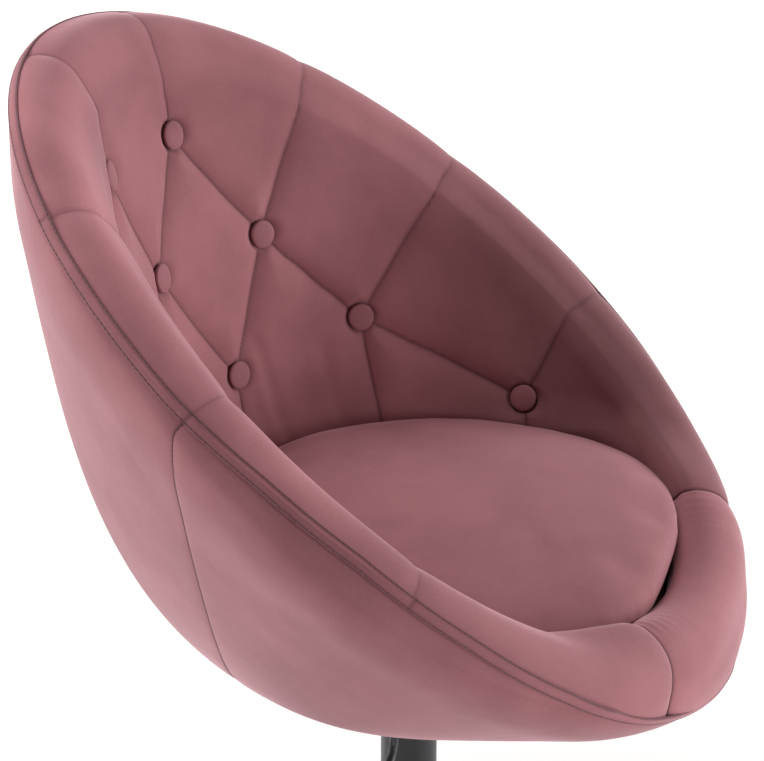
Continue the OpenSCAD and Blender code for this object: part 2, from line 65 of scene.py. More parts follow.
# %% Camera
MM = 0.001
BOWL_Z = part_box("outer_cover_front")[0].z
view_turn = math.radians(-71.81)
view_drop = math.radians(23.93)
view_distance = 1.5857
view_raise = 0.2160
view_left = 0.0239
towards_camera = Vector((math.sin(view_turn) * math.cos(view_drop),
                         -math.cos(view_turn) * math.cos(view_drop), math.sin(view_drop)))
camera_right = Vector((math.cos(view_turn), math.sin(view_turn), 0))
camera_up = towards_camera.cross(camera_right)
bpy.ops.object.camera_add(
    location=Vector((0, 0, BOWL_Z)) + view_distance * towards_camera + view_raise * camera_up
    - view_left * camera_right,
    rotation=(math.pi / 2 - view_drop, 0, view_turn))
camera = bpy.context.object
camera.name = "camera"
camera.data.lens = 86.13
camera.data.clip_start = 0.05
scene.camera = camera
print("camera at", [round(v, 3) for v in camera.location])

# %% [markdown]
# ## Floor and light
# A plain pale floor and large soft lights. Velvet shows its pile by glowing at its edges, so the light comes
# from all round: most from high behind the chair and from the far front, less from low in front and from the
# near side. One strong light is turned to the floor beyond the chair and keeps the background pale.

# %% Colour helper
def linear(hex_colour):
    """An sRGB colour such as "#a0505a" as linear red, green, blue and alpha."""
    values = [int(hex_colour[i:i + 2], 16) / 255 for i in (1, 3, 5)]
    return [v / 12.92 if v <= 0.04045 else ((v + 0.055) / 1.055) ** 2.4 for v in values] + [1.0]


def add(tree, kind, settings=None, inputs=None):
    """Adds a node, with its own settings, and its inputs as values or as other nodes' sockets."""
    made = tree.nodes.new("ShaderNode" + kind)
    for name, value in (settings or {}).items():
        setattr(made, name, value)
    for key, value in (inputs or {}).items():
        if isinstance(value, bpy.types.NodeSocket):
            tree.links.new(value, made.inputs[key])
        else:
            made.inputs[key].default_value = value
    return made


def finish_of(name, base, roughness, **uniform):
    """A new material: its node tree, its shader and the place of each point in metres."""
    material = bpy.data.materials.new(name)
    material.use_nodes = True
    tree = material.node_tree
    shader = tree.nodes["Principled BSDF"]
    shader.inputs["Base Color"].default_value = linear(base)
    shader.inputs["Roughness"].default_value = roughness
    for socket, value in uniform.items():
        shader.inputs[socket.replace("_", " ")].default_value = value
    place = add(tree, "TexCoord").outputs["Object"]
    return material, tree, shader, place


def noise_over(tree, place, scale, detail, **more):
    """A noise texture, with its scale in features to the metre."""
    inputs = {"Vector": place, "Scale": scale, "Detail": detail, **more}
    return add(tree, "TexNoise", inputs=inputs).outputs["Fac"]


def ranged(tree, value, low, high, start=0.3, end=0.7):
    """Stretches the part of a texture between start and end, to run from low to high."""
    return add(tree, "MapRange", inputs={"Value": value, "From Min": start, "From Max": end,
                                         "To Min": low, "To Max": high}).outputs["Result"]


def blend(tree, factor, first, second):
    """A mix of two colours, each a hex colour or another node's socket."""
    ends = [linear(end) if isinstance(end, str) else end for end in (first, second)]
    return add(tree, "Mix", {"data_type": "RGBA"}, {0: factor, 6: ends[0], 7: ends[1]}).outputs[2]


def bumps(tree, height, strength, deep_mm, over=None):
    """Surface relief of a depth in mm, laid over a coarser relief if there is one."""
    inputs = {"Height": height, "Strength": strength, "Distance": deep_mm * MM}
    return add(tree, "Bump", inputs=inputs | ({"Normal": over} if over else {})).outputs["Normal"]


def lead(tree, shader, **results):
    """Leads results into the shader's sockets."""
    for socket, result in results.items():
        tree.links.new(result, shader.inputs[socket.replace("_", " ")])


# %% Floor, lights and background
bpy.ops.mesh.primitive_plane_add(size=16, location=(4, 0, 0))
floor = bpy.context.object
floor.name = "floor"
floor_paint, _, _, _ = finish_of("white_floor_paint", "#f4f3f2", 0.9, Specular_IOR_Level=0.1)
floor.data.materials.append(floor_paint)

world = bpy.data.worlds.new("soft_surround")
scene.world = world
world.use_nodes = True
world.node_tree.nodes["Background"].inputs["Color"].default_value = (1, 0.995, 0.99, 1)
world.node_tree.nodes["Background"].inputs["Strength"].default_value = 0.11


def soft_light(name, place, target, size, watts, spread=180):
    """A square area light at a place, turned to a target, with its spread in degrees."""
    bpy.ops.object.light_add(type="AREA", location=place)
    light = bpy.context.object
    light.name = name
    light.data.size = size
    light.data.energy = watts
    light.data.spread = math.radians(spread)
    light.rotation_euler = (Vector(target) - Vector(place)).to_track_quat("-Z", "Y").to_euler()
    return light


seat_middle = (0, 0, 0.5)
soft_light("top_light", (0.2, 0.8, 3.0), seat_middle, 1.6, 26)
soft_light("back_high_light", (-0.6, 2.4, 1.6), seat_middle, 1.0, 58)
soft_light("far_front_light", (1.6, -2.2, 0.9), seat_middle, 1.0, 42)
soft_light("front_low_light", (-0.6, -2.6, 0.35), seat_middle, 0.9, 24)
soft_light("front_light", (0.2, -2.6, 1.0), seat_middle, 1.6, 8)
soft_light("near_low_light", (-2.3, -0.4, 0.30), (0, 0, 0.45), 0.55, 8)
soft_light("floor_light", (4.2, 1.0, 4.5), (4.2, 1.4, 0), 3.5, 150, spread=110)

# %% [markdown]
# ## Velvet
# Velvet is a woven ground with a short upright pile, here taken as dusty rose polyester about 1.5 mm long.
# Looked at straight on, the pile swallows light and the cloth is deep; along its edges the fibre tips catch
# light, so every rounded edge glows. That is what the sheen layer does. Where a hand has brushed the pile,
# the tone shifts in soft patches. Shade is painted in too: a "fold" value darkens the colour towards a
# deep tone along folds, seams, grooves and round the buttons, where shade falls. A second value scales
# the colour as painted shade on the sitter's left wall and painted light over the rim on the right and on
# the bolster. Its strength is chosen for the look; at 0 the cloth is even on both sides.

# %% Velvet
def velvet(name, deep, middle, light):
    """Rose velvet: brushed patches, fine pile, painted shade in its folds and painted light and shade by side.
    """
    cloth, tree, shader, place = finish_of(
        name, middle, 0.82, Specular_IOR_Level=0.25, Sheen_Weight=0.75, Sheen_Roughness=0.34)
    shader.inputs["Sheen Tint"].default_value = linear("#f3cfd6")
    brushed = noise_over(tree, place, 7.5, 2.0, Roughness=0.45, Distortion=0.3)     # strokes of about 130 mm
    rubbed = noise_over(tree, place, 38.0, 3.0, Roughness=0.5)
    pile = noise_over(tree, place, 520.0, 2.0, Roughness=0.6)
    strokes = add(tree, "MapRange", {"interpolation_type": "SMOOTHSTEP"},
                  {"Value": brushed, "From Min": 0.28, "From Max": 0.72}).outputs["Result"]
    tone = add(tree, "Math", {"operation": "ADD"}, {0: strokes, 1: ranged(tree, rubbed, -0.16, 0.16)})
    tone = add(tree, "Math", {"operation": "ADD", "use_clamp": True},
               {0: tone.outputs[0], 1: ranged(tree, pile, -0.16, 0.16)})
    # Painted shade: the fold value mixes the colour towards the deep tone in folds, seams and grooves.
    fold = add(tree, "Attribute", {"attribute_name": "fold"}).outputs["Fac"]
    # Painted light and shade: this value scales the colour, below 1 for painted shade, above 1 for painted
    # light.
    painted_shading = add(tree, "Attribute", {"attribute_name": "painted_shading"}).outputs["Fac"]
    painted_shading_scale = add(tree, "Math", {"operation": "ADD"}, {0: 1.0, 1: painted_shading}).outputs[0]
    colour = blend(tree, fold, blend(tree, tone.outputs[0], middle, light), deep)
    colour = add(tree, "VectorMath", {"operation": "SCALE"}, {0: colour, "Scale": painted_shading_scale}).outputs[0]
    fuzz = bumps(tree, pile, 0.35, 0.25, over=bumps(tree, rubbed, 0.35, 1.2))
    lead(tree, shader, Base_Color=colour, Normal=fuzz)
    return cloth


# The first colour of each velvet is the deep tone of the painted shade in folds and seams.
rose_velvet = velvet("rose_velvet", "#4e2a30", "#945e63", "#a66d72")
button_velvet = velvet("rose_velvet_on_buttons", "#4e2a30", "#8c585d", "#9d686d")
print("velvets:", rose_velvet.name, button_velvet.name)

# %% [markdown]
# ## The bucket's curves
# The whole bucket hangs on one curve: the centre line of the padded rim, a tilted ellipse that is low at the
# front and high at the back. An angle t runs round it, 0 at the front, 90 at the sitter's left and 180 at the
# back. The wall outside, the wall inside and the rim are all functions of t, so every piece can be laid on
# them exactly. They repeat the CAD's own formulas, in metres above the bucket's underside. The band's line
# and the side seams' lines differ from the CAD's, and the cushion is a few millimetres larger.

# %% Rim curve
RIM_TILT = math.radians(38.5)
RIM_UP = np.array([0, -math.sin(RIM_TILT), math.cos(RIM_TILT)])
DECK_TOP = 0.058
UNDER_R = 0.150
SEAT_Y = -0.044         # middle of the seat's outline


def turned(t):
    return np.sin(np.radians(t)), np.cos(np.radians(t))


def points(x, y, z):
    return np.stack(np.broadcast_arrays(x, y, z), -1).astype(float)


def around(side, front, back, t):
    """A value that is side at the sides and turns to front or back at the ends."""
    c = turned(t)[1]
    return side + (front - side) * np.maximum(c, 0) ** 2 + (back - side) * np.maximum(-c, 0) ** 2


def rim_point(t):
    s, c = turned(t)
    c2, c3 = turned(2 * t)[1], turned(3 * t)[1]
    return points(0.282 * s * (1 + 0.11 * c - 0.01 * c2),
                  0.0185 - 0.343 * c * math.cos(RIM_TILT) - 0.0085 * c2,
                  0.277 - 0.343 * c * math.sin(RIM_TILT) - 0.0073 * c2 + 0.0027 * c3)


def unit(v):
    return v / np.linalg.norm(v, axis=-1, keepdims=True)


def roll_point(t, a):
    """On the rim roll: a is 0 outwards, 90 up and 180 towards the sitter."""
    out = unit(np.cross(rim_point(t + 0.5) - rim_point(t - 0.5), RIM_UP))
    s, c = turned(a)
    radius = np.asarray(around(0.032, 0.030, 0.033, t))[..., None]
    return rim_point(t) + radius * (np.asarray(c)[..., None] * out + np.asarray(s)[..., None] * RIM_UP)


# %% Walls
def bezier(a, b, c, d, s):
    s = np.asarray(s)[..., None]
    return (1 - s) ** 3 * a + 3 * (1 - s) ** 2 * s * b + 3 * (1 - s) * s ** 2 * c + s ** 3 * d


def outer_point(t, s):
    """Outside of the bucket: s is 0 under it and 1 where the rim starts."""
    sin, cos = turned(t)
    edge = roll_point(t, 0)
    out = points(sin, -cos, 0)
    belly = points(0.206 * sin, -around(0.206, 0.293, 0.293, t) * cos, 0)
    neck = edge - points(0, 0, edge[..., 2] * around(0.07, 0.27, 0.55, t))
    neck = neck + np.asarray(around(0.009, -0.002, -0.008, t))[..., None] * out
    return bezier(UNDER_R * out, belly, neck, edge, s)


def seat_outline(t, half_width, front, back):
    """The seat's rounded outline, squarer at its front corners."""
    sin, cos = turned(t)
    p = 0.8 + 0.1 * (1 - np.clip(2 * cos, -1, 1))
    reach = np.where(cos > 0, front, back)
    return points(half_width * np.sign(sin) * abs(sin) ** p,
                  SEAT_Y - reach * np.sign(cos) * abs(cos) ** p, 0)


def inner_point(t, s):
    """Inside of the bucket: s is 0 at the seat deck and 1 where the rim starts."""
    sin, cos = turned(t)
    edge = roll_point(t, 180)
    rise = edge[..., 2] - DECK_TOP
    low = seat_outline(t, 0.178, 0.172, 0.222)
    wide = seat_outline(t, 0.224, 0.184, 0.236)
    k = np.minimum(1, rise / 0.1)[..., None]
    foot = low + points(0, 0, DECK_TOP + 0.0004)
    flare = low + (wide - low) * k + points(0, 0, DECK_TOP + np.minimum(0.048, rise / 2))
    neck = edge - points(0.06 * rise * sin, -0.06 * rise * cos, rise / 4)
    return bezier(foot, flare, neck, edge, s)


def band_place(t):
    """Where the stitched band runs: degrees up the rim, or below it in hundredths of the wall."""
    t = np.asarray(t) % 360
    return np.interp(np.minimum(t, 360 - t), [0, 30, 45, 60, 75, 88, 100, 125, 180],
                     [-40, -12, 18, 36, 44, 38, 25, 15, 12])


def skin_point(t, q):
    """The outside as one surface: q above 0 is degrees up the rim, below 0 hundredths down the wall."""
    q = np.asarray(q, float)
    return np.where(q[..., None] >= 0, roll_point(t, np.maximum(q, 0)),
                    outer_point(t, 1 + np.minimum(q, 0) / 100))


print("rim at the back:", np.round(rim_point(180.0), 3), "and at the front:", np.round(rim_point(0.0), 3))

# %% [markdown]
# ## How the padded pieces are made
# Each padded piece is a closed ring or sausage of sections. A grid primitive is rolled up to make it: its
# points are moved to the sections, the borders that then lie on each other are merged, and a piece that
# doesn't go right round has its two ends filled. Corners between surfaces are rounded by smoothing the rows
# near them. Puffs, folds and dimples are worked out as heights along the surface normals.

# %% Sweep helper
def only(piece):
    """Selects one object and nothing else."""
    bpy.ops.object.select_all(action="DESELECT")
    piece.select_set(True)
    bpy.context.view_layer.objects.active = piece


def set_places(piece, places):
    piece.data.vertices.foreach_set("co", np.asarray(places, np.float32).ravel())
    piece.data.update()


def sweep(name, sections, closed, fold=0.0, painted_shading=0.0):
    """A grid primitive rolled up onto sections, an array of rings x points x 3, in metres above the bucket.
    fold is each point's painted shade, from 0 on a panel to 1 in a fold, and the last argument scales
    each point's colour as painted light and shade, from -1 to 1."""
    def wrapped(values):
        values = np.concatenate([values, values[:, :1]], axis=1)
        return np.concatenate([values, values[:1]]) if closed else values

    flat = np.zeros(sections.shape[:2])
    fold, painted_shading, sections = wrapped(flat + fold), wrapped(flat + painted_shading), wrapped(sections)
    rings, count = fold.shape
    bpy.ops.mesh.primitive_grid_add(x_subdivisions=count - 1, y_subdivisions=rings - 1, size=1)
    piece = bpy.context.object
    piece.name = piece.data.name = name
    set_places(piece, sections + [0, 0, BOWL_Z])
    for label, values in (("fold", fold), ("painted_shading", painted_shading)):
        layer = piece.data.attributes.new(label, "FLOAT", "POINT")
        layer.data.foreach_set("value", np.ascontiguousarray(values, np.float32).ravel())
    only(piece)
    bpy.ops.object.mode_set(mode="EDIT")
    bpy.ops.mesh.select_mode(type="VERT")
    bpy.ops.mesh.select_all(action="DESELECT")
    bpy.ops.mesh.select_non_manifold()
    bpy.ops.mesh.remove_doubles(threshold=1e-6)
    if not closed:
        bpy.ops.mesh.select_all(action="DESELECT")
        bpy.ops.mesh.select_non_manifold()
        bpy.ops.mesh.fill_holes(sides=0)
    bpy.ops.mesh.select_all(action="SELECT")
    bpy.ops.mesh.normals_make_consistent(inside=False)
    bpy.ops.object.mode_set(mode="OBJECT")
    bpy.ops.object.shade_smooth_by_angle(angle=math.radians(60))
    print(name, "points", len(piece.data.vertices), "faces", len(piece.data.polygons))
    return piece


def wall_s_at(t, height):
    """How far up the outside wall a height is, found by halving."""
    low, high = np.zeros_like(t), np.ones_like(t)
    for _ in range(14):
        middle = (low + high) / 2
        below = outer_point(t, middle)[..., 2] < height
        low, high = np.where(below, middle, low), np.where(below, high, middle)
    return low


def ease(values, low, high):
    """0 below low, 1 above high and a smooth step between."""
    k = np.clip((values - low) / (high - low), 0, 1)
    return k * k * (3 - 2 * k)


def soften(grid, middle, reach, rounds):
    """Rounds the corner where two surfaces meet, near one row of the grid."""
    rows = np.arange(grid.shape[1])
    weight = (0.5 * np.clip(1 - abs(rows - middle) / reach, 0, 1))[None, 1:-1, None]
    for _ in range(rounds):
        mean = (grid[:, 2:] + grid[:, :-2]) / 2
        grid[:, 1:-1] += weight * (mean - grid[:, 1:-1])
    return grid


def normals_of(grid):
    """Outward normals of a grid of points, first index along t, second up the surface."""
    return unit(np.cross(np.gradient(grid, axis=1), np.gradient(grid, axis=0)))


def cloud(places, size, seed):
    """Smooth noise from -1 to 1 with features of one size, the same on each run."""
    flat = places.reshape(-1, 3) / size + seed
    return np.array([noise.noise(Vector(p)) for p in flat]).reshape(places.shape[:-1])


# %% [markdown]
# ## Tufted lining and rim roll
# The lining is one big sheet of velvet over soft foam. Eleven buttons pull it to the shell in a diamond
# pattern, folds run from button to button, and from the outer buttons seams run up over the rim to the band.
# Upholsterers cut it in panels and sew the panels along those folds, so the folds are thin and crisp and the
# panels between them stand up softly. The folds are lines on the surface: each point finds how far it is
# from the nearest one, and sinks towards it.

# %% Lines of the tufting
BUTTONS = [(163, 0.86), (197, 0.86), (142, 0.66), (180, 0.62), (218, 0.66), (121, 0.50), (158, 0.39),
           (202, 0.39), (239, 0.50), (85, 0.38), (275, 0.38)]
BUTTON_R = 12.5 * MM
SEAM_ANGLE = 26.0       # where the front bolster ends
SEAM_DIP = 2.6 * MM     # how far its seams are drawn in
TOP = 1.0               # row value where the wall ends and the rim starts
OVER = 2.0              # row value where the rim ends under the band


def lining_point(t, v):
    """On the lining: v from 0 to 1 goes up the wall, and from 1 to 2 over the rim to the band."""
    t, v = np.broadcast_arrays(np.asarray(t, float), np.asarray(v, float))
    q = 180 + (band_place(t) - 180) * np.clip(v - TOP, 0, 1)
    return np.where(v[..., None] <= TOP, inner_point(t, np.clip(v, 0, 1)), skin_point(t, q))


wall_rows, rim_rows = 116, 28
rows_up = np.concatenate([np.linspace(0, 1, wall_rows) ** 0.88, np.linspace(1, 2, rim_rows + 1)[1:]])


def lining_surface(angles):
    """The lining before its folds, with the corner between wall and rim rounded."""
    return soften(lining_point(angles[:, None], rows_up[None, :]), wall_rows, 30, 220)


lining_angles = np.linspace(SEAM_ANGLE + 0.06, 360 - SEAM_ANGLE - 0.06, 630)
surface = lining_surface(lining_angles)
finder = kdtree.KDTree(surface.shape[0] * surface.shape[1])
for number, place in enumerate(surface.reshape(-1, 3)):
    finder.insert(place, number)
finder.balance()


def fold_line(stops, depths, steps=12):
    """A line over the lining through (t, v) stops, as straight as the surface lets it, with its depths."""
    places, deep = [], []
    for (a, b), (da, db) in zip(zip(stops, stops[1:]), zip(depths, depths[1:])):
        k = np.linspace(0, 1, steps)
        if min(a[1], b[1]) >= TOP:
            run = lining_point(a[0] + (b[0] - a[0]) * k, a[1] + (b[1] - a[1]) * k)
        else:
            first, last = lining_point(*a), lining_point(*b)
            run = first + (last - first) * k[:, None]
        places += [np.array(finder.find(place)[0]) for place in run]
        deep.append(da + (db - da) * k)
    places = np.array(places)
    places[1:-1] = (places[:-2] + 2 * places[1:-1] + places[2:]) / 4
    return places, np.concatenate(deep) * MM


half_pattern = [(0, 2), (0, 3), (2, 6), (3, 6), (2, 5), (5, 9)]     # folds of the left half, as two buttons
seams_up = [(0, 164), (2, 127.5), (5, 98.1), (9, 68.1)]     # button, and the angle where it crosses the rim
seams_down = [(5, 120), (9, 85), (6, 160)]                  # button, and the angle where it meets the seat
DEEP = 8                                                    # depth of a fold at its button, in mm


def both_sides(stops, depths):
    """A fold on the sitter's left and its mirror image on the right."""
    return [fold_line(stops, depths), fold_line([(360 - t, v) for t, v in stops], depths)]


lines = []
for first, last in half_pattern:
    lines += both_sides([BUTTONS[first], BUTTONS[last]], (DEEP, DEEP))
for number, angle in seams_up:
    lines += both_sides([BUTTONS[number], (angle, 1.15), (angle, OVER)], (DEEP, 2.6, 1.2))
for number, angle in seams_down:
    lines += both_sides([BUTTONS[number], (angle, 0.05)], (DEEP, 5))
wrinkles = [fold_line(stops, (depth, depth)) for stops, depth in (
    ([(151, 0.45), (148, 0.20)], 2.0), ([(155, 0.33), (153, 0.14)], 1.5), ([(208, 0.43), (212, 0.18)], 1.8),
    ([(133, 0.42), (131, 0.18)], 1.4), ([(188, 0.50), (184, 0.30)], 1.2))]
print("fold lines:", len(lines))


# %% Heights of the lining
def painted_shading_of(angles, rows):
    """Chosen painted shading of the lining: shade on the sitter's left, light over the rim on the right."""
    left = np.maximum(0, np.cos(np.radians(1.8 * (angles - 62)))) * (abs(angles - 62) < 50)
    right = np.maximum(0, np.cos(np.radians(1.5 * (angles - 228)))) * (abs(angles - 228) < 60)
    return -0.40 * left[:, None] + 0.30 * right[:, None] * ease(rows, 0.95, 1.25)[None, :]


def nearest_on(line, places):
    """For each place: the distance to a line, the way there and the line's depth there."""
    path, depth = line
    best = np.full(len(places), np.inf)
    way, deep = np.zeros_like(places), np.zeros(len(places))
    for a, b, da, db in zip(path, path[1:], depth, depth[1:]):
        along = b - a
        length = along @ along
        if length < 1e-12:
            continue
        k = np.clip((places - a) @ along / length, 0, 1)
        gap = a + k[:, None] * along - places
        distance = np.einsum("ij,ij->i", gap, gap)
        closer = distance < best
        best = np.where(closer, distance, best)
        way[closer] = gap[closer]
        deep[closer] = (da + (db - da) * k)[closer]
    return np.sqrt(best), way, deep


def pull_in(grid, fold_lines, width, snap):
    """Gathers points onto the fold lines and gives each point's drop and its painted shade in the fold."""
    flat = grid.reshape(-1, 3).copy()
    drop, fold = np.zeros(len(flat)), np.zeros(len(flat))
    for line in fold_lines:
        low, high = line[0].min(0) - 5 * width, line[0].max(0) + 5 * width
        near = np.nonzero(((flat > low) & (flat < high)).all(1))[0]
        if not len(near):
            continue
        distance, way, deep = nearest_on(line, flat[near])
        pull = np.exp(-(distance / snap) ** 2)
        flat[near] += way * pull[:, None] * 0.95
        distance = distance * (1 - 0.95 * pull)
        drop[near] = np.maximum(drop[near], deep * np.exp(-distance / width))
        # Painted shade in a thin line along each fold, stronger where the fold is deeper.
        strength = np.minimum(1, 0.45 + deep / (9 * MM))
        fold[near] = np.maximum(fold[near], strength * np.exp(-(distance / (1.5 * MM)) ** 2))
    return flat.reshape(grid.shape), drop.reshape(grid.shape[:-1]), fold.reshape(grid.shape[:-1])


def wrinkle_drop(grid, soft_lines, width):
    """Shallow hollows with no crease, where the lining is a little slack."""
    flat = grid.reshape(-1, 3)
    drop = np.zeros(len(flat))
    for line in soft_lines:
        near = np.nonzero(np.linalg.norm(flat - line[0].mean(0), axis=1) < 0.15)[0]
        distance, _, deep = nearest_on(line, flat[near])
        drop[near] += deep * np.exp(-(distance / width) ** 2)
    return drop.reshape(grid.shape[:-1])


def button_drop(grid, puff):
    """Sinks the lining round each button: flat under it, rising quickly from its edge."""
    drop, fold = np.zeros(grid.shape[:-1]), np.zeros(grid.shape[:-1])
    for t, s in BUTTONS:
        distance = np.linalg.norm(grid - inner_point(t, s), axis=-1)
        beyond = np.maximum(distance - BUTTON_R, 0)
        drop = np.maximum(drop, puff * np.exp(-beyond / (6 * MM)))
        # Painted shade in a thin ring just outside each button's edge.
        fold = np.maximum(fold, 0.8 * np.exp(-(beyond / (2.5 * MM)) ** 2) * (distance > 0.8 * BUTTON_R))
    return drop, fold


CUSHION_EDGE = 0.106    # height of the cushion's widest line above the bucket's underside
CUSHION_HALF, CUSHION_FRONT, CUSHION_BACK = 0.203, 0.175, 0.222     # the CAD cushion's width and reach
WIDEST = 0.985          # share of that size at the cushion's widest line
cushion_edge = seat_outline(np.linspace(-180, 180, 721), CUSHION_HALF * WIDEST, CUSHION_FRONT * WIDEST,
                            CUSHION_BACK)


def round_seat(places):
    """Each place's turn round the middle of the seat and its reach from there."""
    return (np.arctan2(places[..., 0], -(places[..., 1] - SEAT_Y)),
            np.hypot(places[..., 0], places[..., 1] - SEAT_Y))


edge_turn, edge_reach = round_seat(cushion_edge)


def fullness(grid, angles, rows):
    """Foam that fills the gap beside the cushion: as much as the gap at each point, up to 17 mm."""
    turn, reach = round_seat(grid)
    below = 1 - 0.12 * np.clip((CUSHION_EDGE - grid[..., 2]) / 0.045, 0, 1) ** 2
    gap = reach - np.interp(turn, edge_turn, edge_reach) * below
    near = ease(grid[..., 2], DECK_TOP, DECK_TOP + 0.02) * (1 - ease(grid[..., 2], CUSHION_EDGE - 0.006,
                                                                     CUSHION_EDGE + 0.038))
    front = ease(turned(angles)[1], 0.1, 0.6)[:, None]
    inside = 1 - ease(rows, 0.9, 1.9)[None, :]
    return np.clip(gap - 0.5 * MM, 0, (9 + 8 * front) * MM) * near * inside * (0.75 + 0.25 * front)


def from_ends(angles):
    """How far each ring of a piece is from the nearer end of it."""
    line = rim_point(angles)
    return np.minimum(np.linalg.norm(line - line[0], axis=1), np.linalg.norm(line - line[-1], axis=1))


def backing(angles, outer_rows):
    """Rows down the hidden back of the lining, against the shell."""
    edge = roll_point(angles, 0)
    foot = wall_s_at(angles, np.minimum(DECK_TOP + 0.0004, 0.75 * edge[..., 2]))
    top = np.minimum(0.97, 1 + band_place(angles) / 100 - 0.03)
    s = top[:, None] + (foot - top)[:, None] * np.linspace(0, 1, outer_rows)[None, :]
    t = np.broadcast_to(angles[:, None], s.shape)
    wall = outer_point(t, s)
    across = outer_point(t + 0.5, s) - outer_point(t - 0.5, s)
    upwards = outer_point(t, s + 0.01) - outer_point(t, s - 0.01)
    return wall - 0.0142 * unit(np.cross(across, upwards))


# %% Build the lining with its rim roll
rise = roll_point(lining_angles, 180)[:, 2] - DECK_TOP
height_up = surface[..., 2]
puff = 8.5 * MM * np.minimum(1, rise / 0.17)[:, None] * (1 - 0.8 * ease(rows_up, 0.86, 1.35))[None, :]
puff = puff * ease(height_up, 0.055, 0.120) + fullness(surface, lining_angles, rows_up)
surface, fold_drop, fold = pull_in(surface, lines, 11 * MM, 3.6 * MM)
puff = puff - wrinkle_drop(surface, wrinkles, 8 * MM)
pulled, ring = button_drop(surface, puff)
from_end = from_ends(lining_angles)
fold_drop = np.maximum(fold_drop, SEAM_DIP * np.exp(-from_end / (6 * MM))[:, None])
# Painted shade along the lining's two end seams.
fold = np.maximum(fold, 0.75 * np.exp(-(from_end / (1.3 * MM)) ** 2)[:, None])
facing = normals_of(surface)
drop = np.maximum(fold_drop, pulled)
lining_height = puff - drop
inner_part = lining_height[1:-1, 1:-1]
for _ in range(2):      # takes the saw teeth off the creases
    inner_part += 0.4 * ((lining_height[:-2, 1:-1] + lining_height[2:, 1:-1]) / 2 - inner_part)
visible = surface + lining_height[..., None] * facing
tucked = backing(lining_angles, 6)
# Painted shade in the folds and round the buttons, at 0.6 strength; none on the hidden back.
painted_fold_shade = np.pad(0.6 * np.maximum(fold, ring), ((0, 0), (0, 6)))
# Painted light and shade on the lining, as a colour scale; the hidden back repeats the last row.
painted_lining_shading = np.pad(painted_shading_of(lining_angles, rows_up), ((0, 0), (0, 6)), mode="edge")
lining = sweep("tufted_lining", np.concatenate([visible, tucked], axis=1), closed=False, fold=painted_fold_shade,
               painted_shading=painted_lining_shading)
lining.data.materials.append(rose_velvet)
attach(lining, "seat")
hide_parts("tufted_back_pad", "rim_roll")

# %% [markdown]
# ## Front bolster
# At the front the rim is a separate, plain length of the same roll, sewn to the lining with one seam at each
# end. It is the lining's own section between the two seams, drawn in a little at both ends and gathered
# where it turns in behind the cushion.

# %% Build the front bolster
bolster_angles = np.linspace(-SEAM_ANGLE + 0.06, SEAM_ANGLE - 0.06, 170)
surface = lining_surface(bolster_angles)
facing = normals_of(surface)
from_seam = from_ends(bolster_angles)[:, None]
draw_in = SEAM_DIP * np.exp(-from_seam / (6 * MM))
wander = 2.2 * cloud(surface, 0.030, 5.0)
gathers = 0.34 * MM * np.sin(from_seam / (1.7 * MM) + wander) * np.exp(-from_seam / (24 * MM))
gathers = gathers * ease(rows_up, 0.85, 1.02)[None, :] * (1 - ease(rows_up, 1.08, 1.35))[None, :]
swell = 1.5 * MM * ease(from_seam, 0, 0.03) * ease(rows_up, 0.9, 1.2)[None, :] - draw_in + gathers
swell = swell + fullness(surface, bolster_angles, rows_up)
bolster_surface = surface + swell[..., None] * facing
# Painted shade along the bolster's two end seams.
painted_fold_shade = np.pad(0.75 * np.exp(-(from_seam / (1.3 * MM)) ** 2) * np.ones_like(gathers), ((0, 0), (0, 6)))
# The bolster's colour is raised by 0.12 all over: painted light.
bolster = sweep("front_bolster_pad", np.concatenate([bolster_surface, backing(bolster_angles, 6)], axis=1),
                closed=False, fold=painted_fold_shade, painted_shading=0.12)
bolster.data.materials.append(rose_velvet)
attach(bolster, "seat")
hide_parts("front_bolster")

# %% [markdown]
# ## Outer cover
# The outside is velvet with a thin foam backing, pulled over the shell in two panels, front and back, and
# sewn together down each side. The band above it is sewn tight, so the cover dips along the band and swells
# out again below it, and it dips along the side seams in the same way.

# %% Build the two cover panels
COVER_SEAM = 98.0
COVER_T = 4 * MM


def cover_seam(q):
    """Angle of the side seam: 98 degrees at the rim, and further back towards the bottom."""
    down = np.maximum(0, -np.asarray(q, float) / 100)
    return COVER_SEAM + 3.7 * down + 30.6 * down ** 2


